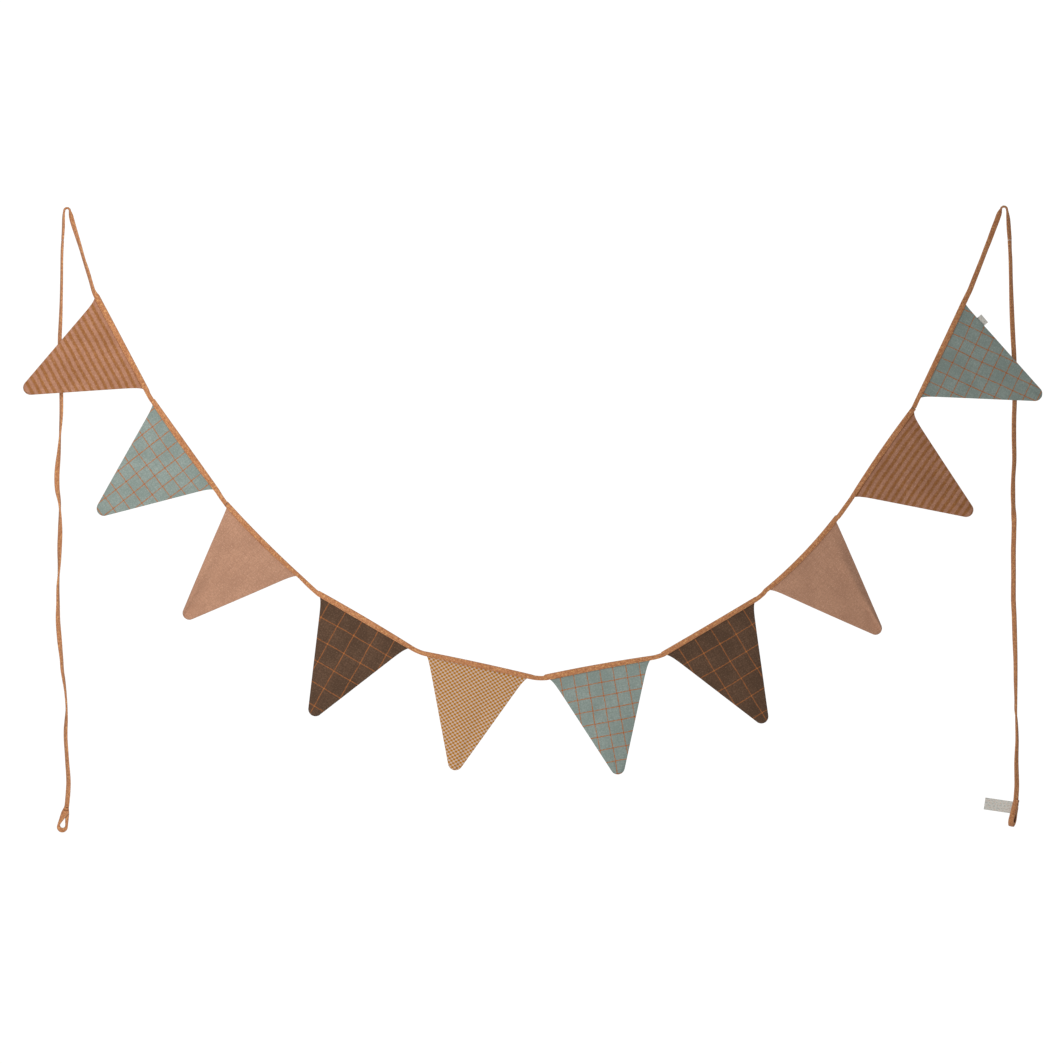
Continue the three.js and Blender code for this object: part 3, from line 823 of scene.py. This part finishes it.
def make_strip(name, label, start, to_swag, section_at, material):
    """A label as a tube of sections, from its start to its free side, as shares of half its width."""
    rings = []
    distances = []
    for i in range(LABEL_COLUMNS + 1):
        share = start + (1 - start) * i / LABEL_COLUMNS
        x = share * label["width"] / 2
        bend = -label["bend"] * (1 - share ** 2)
        rings.append([to_swag @ Vector((x, bend + y, z)) for y, z in section_at(share)])
        distances.append(x)
    piece = Piece()
    piece.tube(rings, distances)
    return piece.build(name, [material])


def care_label_section(share):
    front = []
    back = []
    for k in range(LABEL_ROWS + 1):
        z = (-0.5 + k / LABEL_ROWS) * NECK_LABEL["height"]
        turn = LABEL_CURL["across"] * share + LABEL_CURL["down"] * k / LABEL_ROWS
        curl = LABEL_CURL["height"] * math.sin(turn)
        half = label_thickness(NECK_LABEL["height"] / 2 - abs(z))
        front.append((curl - half, z))
        back.append((curl + half, z))
    return front + back[::-1]


def make_care_label(material):
    outward = TAPE_WIDTH / 2 + NECK_LABEL["gap"] + NECK_LABEL["width"] / 2
    place = Matrix.Translation((0, outward, -NECK_LABEL["top_drop"] - NECK_LABEL["height"] / 2))
    tilt = Matrix.Rotation(math.radians(NECK_LABEL["tilt"]), 4, "X")
    to_swag = loop_matrix(RIGHT_LOOP) @ place @ tilt @ Matrix.Rotation(math.pi / 2, 4, "Z")
    start = -1 - 2 * (NECK_LABEL["gap"] + SEWN_IN) / NECK_LABEL["width"]
    label = make_strip("label_care_strip", NECK_LABEL, start, to_swag, care_label_section, material)
    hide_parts("label_care")
    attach(label, "root")
    return label


def side_label_section(share):
    """The folded strip's depth and height: its outer face round the fold, then its inner face."""
    half = EDGE_LABEL["height"] / 2
    third = half / 3
    fold = LABEL_FOLD
    inner = fold - LEAF_OF_LABEL
    section = [(-fold, -half), (-fold, -third), (-fold * LABEL_PRESSED, third)]
    for step in range(LABEL_FOLD_STEPS + 1):
        angle = math.pi * (step / LABEL_FOLD_STEPS - 0.5)
        section.append((fold * math.sin(angle), half - fold + fold * math.cos(angle)))
    section += [(fold * LABEL_PRESSED, third), (fold, -third), (fold, -half), (inner, -half)]
    section += [(inner * LABEL_PRESSED_INSIDE, third), (inner, half - fold), (-inner, half - fold)]
    return section + [(-inner * LABEL_PRESSED_INSIDE, third), (-inner, -half)]


def make_side_label(material):
    """A strip folded in two, with its fold at the free side and its ends behind the flag's edge."""
    turn = Matrix.Rotation(-math.radians(EDGE_LABEL["angle"]), 4, "Y")
    to_swag = Matrix.Translation((EDGE_LABEL["x"], EDGE_LABEL["y"], EDGE_LABEL["z"])) @ turn
    label = make_strip("label_side_strip", EDGE_LABEL, -1, to_swag, side_label_section, material)
    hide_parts("label_side")
    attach(label, "root")


# Materials
COTTON_THREAD = 0.0005
COTTON_BUMP = 0.00012
TAPE_THREAD = 0.0006
TAPE_BUMP = 0.00025
PAINTED_SHADE_BUMP = 0.0002
SEWING_TWIST = 0.0006
SEWING_BUMP = 0.00008
LABEL_RIB = 0.0007
LABEL_BUMP = 0.0001
STRIPE = {"pitch": 0.00872, "width": 0.0042, "softness": 0.0011, "wander": 0.0022}
LINE_WANDER = 0.0014
LINE_SOFTNESS = 0.3
SAGE_CHECK = {
    "grounds": ((162, 175, 168), (134, 148, 141), (180, 190, 184)),
    "lines": ((188, 106, 32), (182, 86, 20)),
    "pitches": (0.0173, 0.0172),
    "width": 0.0012,
    "strength": 0.95,
}
BROWN_CHECK = {
    "grounds": ((113, 84, 64), (82, 60, 44), (134, 106, 84)),
    "lines": ((176, 106, 56), (208, 124, 58)),
    "pitches": (0.0244, 0.0262),
    "width": 0.0011,
    "strength": 0.88,
}
SMALL_CHECK = {"along": 0.00602, "down": 0.0052, "wander": 0.0007}


def linear(red, green, blue):
    """A colour written in screen values from 0 to 255, in the linear values that shaders take."""
    def channel(value):
        share = value / 255
        return share / 12.92 if share <= 0.04045 else ((share + 0.055) / 1.055) ** 2.4
    return (channel(red), channel(green), channel(blue), 1.0)


class Cloth:
    """A node material whose coordinates are the piece's own places on its cloth, in metres."""

    def __init__(self, name, sheen=0.12):
        self.material = bpy.data.materials.new(name)
        self.material.use_nodes = True
        self.tree = self.material.node_tree
        self.shader = self.tree.nodes["Principled BSDF"]
        matt = {"Roughness": 0.92, "Specular IOR Level": 0.15, "Sheen Roughness": 0.6}
        for key, value in {**matt, "Sheen Weight": sheen}.items():
            self.shader.inputs[key].default_value = value
        self.place = self.node("ShaderNodeUVMap", uv_map="cloth").outputs["UV"]
        split = self.node("ShaderNodeSeparateXYZ", {"Vector": self.place})
        self.along = split.outputs["X"]
        self.down = split.outputs["Y"]

    def node(self, kind, inputs=None, **settings):
        """A node with each input linked or set; three values are a colour in screen values."""
        node = self.tree.nodes.new(kind)
        for key, value in settings.items():
            setattr(node, key, value)
        for key, value in (inputs or {}).items():
            if isinstance(value, bpy.types.NodeSocket):
                self.tree.links.new(value, node.inputs[key])
            else:
                node.inputs[key].default_value = linear(*value) if isinstance(value, tuple) else value
        return node

    def math(self, operation, first, second=0.0):
        return self.node("ShaderNodeMath", {0: first, 1: second}, operation=operation).outputs[0]

    def ramp(self, value, low, high, start=0.0, end=1.0):
        inputs = {"Value": value, "From Min": low, "From Max": high, "To Min": start, "To Max": end}
        return self.node("ShaderNodeMapRange", inputs, interpolation_type="SMOOTHSTEP").outputs[0]

    def mix(self, share, first, second):
        return self.node("ShaderNodeMix", {0: share, 6: first, 7: second}, data_type="RGBA").outputs[2]

    def noise(self, per_metre_along, per_metre_down, detail=2.0):
        x = self.math("MULTIPLY", self.along, per_metre_along)
        y = self.math("MULTIPLY", self.down, per_metre_down)
        vector = self.node("ShaderNodeCombineXYZ", {"X": x, "Y": y}).outputs[0]
        inputs = {"Vector": vector, "Scale": 1.0, "Detail": detail}
        return self.node("ShaderNodeTexNoise", inputs).outputs["Fac"]

    def wander(self, uneven, width):
        """Noise from 0 to 1 as a shift to either side."""
        return self.math("MULTIPLY", self.math("SUBTRACT", uneven, 0.5), width)

    def wave(self, value, length, kind="SINE"):
        return self.math(kind, self.math("MULTIPLY", value, 2 * math.pi / length))

    def near_line(self, place, pitch, width, softness):
        """1 on lines at an even pitch, 0 between them, with soft sides."""
        off = self.math("PINGPONG", place, pitch / 2)
        return self.ramp(off, width / 2 - softness, width / 2 + softness, 1.0, 0.0)

    def weave(self, thread):
        """Height of a plain weave, whose threads pass over and under each other."""
        return self.math("MULTIPLY", self.wave(self.along, 2 * thread), self.wave(self.down, 2 * thread))

    def worn(self, colour, dark, light, wear=1.0):
        """The colour with soft blotches, streaks of thicker threads, a grain and brighter fibres."""
        blotch = self.ramp(self.noise(30, 24, 3.0), 0.35, 0.65, 0.0, 0.6 * wear)
        blotched = self.mix(blotch, colour, dark)
        streaks = self.math("MAXIMUM", self.noise(60, 520, 1.0), self.noise(520, 60, 1.0))
        streaked = self.mix(self.ramp(streaks, 0.52, 0.68, 0.0, 0.6 * wear), blotched, dark)
        grain = self.ramp(self.noise(480, 480, 1.0), 0.4, 0.62, 0.0, 0.6 * wear)
        grained = self.mix(grain, streaked, dark)
        threads = self.math("ADD", self.noise(170, 1500), self.noise(1500, 170))
        threaded = self.mix(self.ramp(threads, 0.8, 1.25, 0.0, 0.4), grained, dark)
        fibre = self.ramp(self.noise(620, 620, 1.0), 0.58, 0.72, 0.0, 0.6)
        return self.mix(fibre, threaded, light)

    def finish(self, colour, height, depth):
        bump = self.node("ShaderNodeBump", {"Height": height, "Distance": depth, "Strength": 0.6})
        self.tree.links.new(colour, self.shader.inputs["Base Color"])
        self.tree.links.new(bump.outputs["Normal"], self.shader.inputs["Normal"])
        return self.material


def plain_cloth():
    cloth = Cloth("tan_twill")
    colour = cloth.worn((211, 161, 131), (178, 132, 106), (228, 182, 154), 0.75)
    twill = cloth.wave(cloth.math("ADD", cloth.along, cloth.down), 2 * COTTON_THREAD)
    return cloth.finish(colour, cloth.math("ADD", twill, cloth.noise(1200, 1200)), COTTON_BUMP)


def striped_cloth():
    cloth = Cloth("striped_cotton")
    light = cloth.worn((201, 147, 119), (172, 120, 93), (222, 174, 150))
    dark = cloth.worn((176, 116, 64), (150, 95, 50), (200, 146, 94))
    down = cloth.math("ADD", cloth.down, cloth.wander(cloth.noise(150, 420), STRIPE["wander"]))
    band = cloth.near_line(down, STRIPE["pitch"], STRIPE["width"], STRIPE["softness"])
    faded = cloth.math("MULTIPLY", band, cloth.ramp(cloth.noise(300, 300, 1.0), 0.3, 0.6, 0.75, 1.0))
    return cloth.finish(cloth.mix(faded, light, dark), cloth.weave(COTTON_THREAD), COTTON_BUMP)


def line_check(name, check):
    """Cloth with thin woven lines both ways, deeper where they cross."""
    cloth = Cloth(name)
    ground = cloth.worn(*check["grounds"])
    uneven = cloth.noise(420, 420)
    shift = cloth.wander(uneven, LINE_WANDER)
    upright, level = (
        cloth.near_line(
            cloth.math("ADD", place, shift), pitch, check["width"], check["width"] * LINE_SOFTNESS
        )
        for place, pitch in zip((cloth.along, cloth.down), check["pitches"])
    )
    broken = cloth.ramp(uneven, 0.35, 0.6, 0.5, 1.0)
    line = cloth.math("MULTIPLY", cloth.math("MAXIMUM", upright, level), broken)
    lined = cloth.mix(cloth.math("MULTIPLY", line, check["strength"]), ground, check["lines"][0])
    colour = cloth.mix(cloth.math("MULTIPLY", upright, level), lined, check["lines"][1])
    return cloth.finish(colour, cloth.weave(COTTON_THREAD), COTTON_BUMP)


def small_check():
    """Two offset rows of ochre squares, with pale squares between them."""
    cloth = Cloth("small_check_cotton")
    shift = cloth.wander(cloth.noise(500, 500), SMALL_CHECK["wander"])
    along = cloth.wave(cloth.math("ADD", cloth.along, shift), SMALL_CHECK["along"], "COSINE")
    down = cloth.wave(cloth.math("SUBTRACT", cloth.down, shift), SMALL_CHECK["down"], "COSINE")
    both = cloth.math("MULTIPLY", along, down)
    middle = cloth.worn((211, 174, 140), (194, 154, 120), (224, 192, 162))
    pale = cloth.mix(cloth.ramp(both, -0.35, 0.0, 1.0, 0.0), middle, (216, 188, 168))
    colour = cloth.mix(cloth.ramp(both, 0.0, 0.16), pale, (185, 119, 12))
    return cloth.finish(colour, cloth.weave(COTTON_THREAD), COTTON_BUMP)


def tape_cloth():
    cloth = Cloth("folded_tape", 0.15)
    base = cloth.worn((230, 162, 114), (190, 124, 80), (244, 188, 138))
    slub = cloth.ramp(cloth.noise(300, 420, 1.0), 0.56, 0.66, 0.0, 0.65)
    dark = cloth.ramp(cloth.noise(340, 460, 1.0), 0.36, 0.46, 0.5, 0.0)
    colour = cloth.mix(dark, cloth.mix(slub, base, (250, 190, 122)), (160, 98, 56))
    height = cloth.math("ADD", cloth.weave(TAPE_THREAD), cloth.noise(900, 900))
    return cloth.finish(colour, height, TAPE_BUMP)


def thread_cloth(name, colour, shade):
    """Sewing thread, with the slant of its twist, and painted shade darkening the grooves of the twist."""
    cloth = Cloth(name, 0.1)
    twist = cloth.wave(cloth.math("ADD", cloth.along, cloth.down), SEWING_TWIST)
    # The colour follows the twist's bump: painted shade in its low grooves
    return cloth.finish(cloth.mix(cloth.ramp(twist, -1.0, 1.0), shade, colour), twist, SEWING_BUMP)


def painted_loop_shade_cloth():
    """Painted shade: the inside of a loop, darker than the rest of the tape, standing in for the shadow in
    the slit between its legs.
    """
    cloth = Cloth("loop_painted_shade", 0.05)
    colour = cloth.worn((92, 57, 36), (62, 40, 27), (118, 76, 50))
    return cloth.finish(colour, cloth.weave(TAPE_THREAD), PAINTED_SHADE_BUMP)


def label_cloth():
    """Off-white satin label with fine woven ribs, painted darker in the grooves between them as painted
    shade, and faint grey and warm threads.
    """
    cloth = Cloth("woven_label", 0.2)
    ribs = cloth.wave(cloth.down, LABEL_RIB)
    # The rib wave that makes the bump also darkens the colour in its grooves: painted shade
    base = cloth.mix(cloth.ramp(ribs, -1.0, 1.0), (224, 221, 212), (242, 239, 231))
    grey = cloth.ramp(cloth.noise(420, 560, 1.0), 0.5, 0.62, 0.0, 0.55)
    warm = cloth.ramp(cloth.noise(520, 640, 1.0), 0.54, 0.66, 0.0, 0.55)
    colour = cloth.mix(warm, cloth.mix(grey, base, (176, 186, 184)), (236, 198, 172))
    return cloth.finish(colour, ribs, LABEL_BUMP)


def make_materials():
    return {
        "tan": plain_cloth(),
        "stripe": striped_cloth(),
        "sage": line_check("sage_check", SAGE_CHECK),
        "brown": line_check("brown_check", BROWN_CHECK),
        "check": small_check(),
        "tape": tape_cloth(),
        "thread": thread_cloth("tape_thread", (214, 156, 110), (176, 116, 72)),
        "neck_thread": thread_cloth("neck_thread", (160, 100, 62), (122, 72, 42)),
        "loop_painted_shade": painted_loop_shade_cloth(),
        "label": label_cloth(),
    }


# Studio: a pale floor, a soft white surround, and large soft lights at the left and below in front
FLOOR_Z = -1.25
FLOOR_BOX = ((-1.6, -2.2), (2.8, 0.55))
FLOOR_STEPS = 6
FLOOR_GRAIN = 9
WHITE = (1, 1, 1, 1)
SURROUND_SEEN = 1.05
SURROUND_LIGHT = 0.42
KEY_LIGHT = {"place": (-0.1, -0.9, 0), "aim": (-0.2, 0, -0.3), "size": 0.9, "power": 5.8}
LOW_LIGHT = {"place": (0.5, -1.0, -1.0), "aim": (0.5, 0, -0.6), "size": 0.9, "power": 3.9}


def floor_material():
    material = bpy.data.materials.new("pale_floor")
    material.use_nodes = True
    tree = material.node_tree
    shader = tree.nodes["Principled BSDF"]
    shader.inputs["Roughness"].default_value = 0.9
    grain = tree.nodes.new("ShaderNodeTexNoise")
    grain.inputs["Scale"].default_value = FLOOR_GRAIN
    ramp = tree.nodes.new("ShaderNodeMix")
    ramp.data_type = "RGBA"
    ramp.inputs[6].default_value = linear(232, 231, 228)
    ramp.inputs[7].default_value = linear(240, 239, 237)
    tree.links.new(grain.outputs["Fac"], ramp.inputs[0])
    tree.links.new(ramp.outputs[2], shader.inputs["Base Color"])
    return material


def add_floor():
    low, high = FLOOR_BOX
    row = FLOOR_STEPS + 1
    points = []
    for j in range(row):
        for i in range(row):
            x = low[0] + (high[0] - low[0]) * i / FLOOR_STEPS
            y = low[1] + (high[1] - low[1]) * j / FLOOR_STEPS
            points.append((x, y, FLOOR_Z))
    corners = [j * row + i for j in range(FLOOR_STEPS) for i in range(FLOOR_STEPS)]
    mesh = bpy.data.meshes.new("floor")
    mesh.from_pydata(points, [], [(k, k + 1, k + row + 1, k + row) for k in corners])
    mesh.materials.append(floor_material())
    add_object("floor", mesh)


def add_area_light(name, settings):
    light = bpy.data.lights.new(name, "AREA")
    light.size = settings["size"]
    light.energy = settings["power"]
    holder = add_object(name, light)
    holder.location = settings["place"]
    way = Vector(settings["aim"]) - Vector(settings["place"])
    holder.rotation_euler = way.to_track_quat("-Z", "Y").to_euler()


def add_surround():
    """White all round, and dimmer as a light than it looks."""
    world = bpy.data.worlds.new("surround")
    bpy.context.scene.world = world
    world.use_nodes = True
    tree = world.node_tree
    seen = tree.nodes["Background"]
    lit = tree.nodes.new("ShaderNodeBackground")
    for background, strength in ((seen, SURROUND_SEEN), (lit, SURROUND_LIGHT)):
        background.inputs["Color"].default_value = WHITE
        background.inputs["Strength"].default_value = strength
    path = tree.nodes.new("ShaderNodeLightPath")
    choice = tree.nodes.new("ShaderNodeMixShader")
    tree.links.new(path.outputs["Is Camera Ray"], choice.inputs[0])
    tree.links.new(lit.outputs[0], choice.inputs[1])
    tree.links.new(seen.outputs[0], choice.inputs[2])
    tree.links.new(choice.outputs[0], tree.nodes["World Output"].inputs["Surface"])


add_camera()
materials = make_materials()
tape_materials = [materials["tape"], materials["thread"]]
neck_materials = [materials["tape"], materials["neck_thread"], materials["loop_painted_shade"]]
left_tie = make_tie("tie_left", LEFT_TIE, tape_materials)
right_tie = make_tie("tie_right", RIGHT_TIE, tape_materials)
left_loop = make_loop("loop_left", LEFT_LOOP, neck_materials)
right_loop = make_loop("loop_right", RIGHT_LOOP, neck_materials)
care_label = make_care_label(materials["label"])

flags = rows_of(FLAG_FIELDS, FLAG_TABLE)
hangs = rows_of(HANG_FIELDS, HANG_TABLE)
patterns = rows_of(PATTERN_FIELDS, PATTERN_TABLE)
for number, (flag, hang, pattern) in enumerate(zip(flags, hangs, patterns), 1):
    flag.update({**hang, **pattern, "curl": SIDE_CURLS.get(number)})
make_binding(flags, tape_materials)
for number, flag in enumerate(flags, 1):
    make_flag(flag, f"flag_{number:02d}", materials[flag["cloth"]])
make_side_label(materials["label"])

add_surround()
add_floor()
add_area_light("key_light", KEY_LIGHT)
add_area_light("low_light", LOW_LIGHT)
bpy.context.scene.view_settings.view_transform = "Standard"
